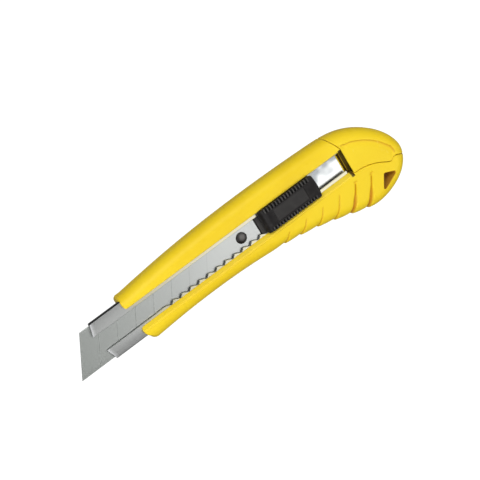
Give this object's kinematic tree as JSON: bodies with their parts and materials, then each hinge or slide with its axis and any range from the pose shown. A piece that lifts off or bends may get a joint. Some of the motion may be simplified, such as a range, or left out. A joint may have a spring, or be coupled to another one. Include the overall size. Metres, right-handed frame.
{
  "type": "utility knife",
  "caption": "Snap-off utility knife: a scored steel blade in a folded steel channel, a moulded handle with a grip, a ribbed locking slider and a pull-off end cap",
  "frame": {"origin": "on the flat back, on the blade's centre line, halfway along the handle", "axes": "+X from the blade's tip towards the tail, +Y from the cutting edge towards the spine, +Z out of the slotted face"},
  "size_m": [0.1777, 0.0415, 0.0156],
  "materials": {
    "yellow_plastic": "satin moulded ABS",
    "channel_steel": "bright folded strip",
    "blade_steel": "satin ground carbon steel",
    "black_plastic": "satin black acetal",
    "spring_steel": "plain spring strip"
  },
  "bodies": {
    "handle": {"handle_body": "yellow_plastic", "blade_channel": "channel_steel"},
    "carriage": {"blade_carrier": "black_plastic", "blade": "blade_steel", "lock_spring": "spring_steel"},
    "button": {"slider_button": "black_plastic"},
    "cap": {"end_cap": "yellow_plastic"}
  },
  "joints": [
    {"name": "carriage_slide", "type": "slide", "parent": "handle", "child": "carriage", "axis": [-1, 0, 0], "range_m": [-0.0168, 0.0624], "deforming": ["lock_spring"]},
    {"name": "button_release", "type": "slide", "parent": "carriage", "child": "button", "axis": [-1, 0, 0], "range_m": [-0.001, 0.001], "stiffness_N_per_m": 300},
    {"name": "cap_pull", "type": "slide", "parent": "handle", "child": "cap", "axis": [1, 0, 0], "range_m": [0, 0.025]}
  ]
}
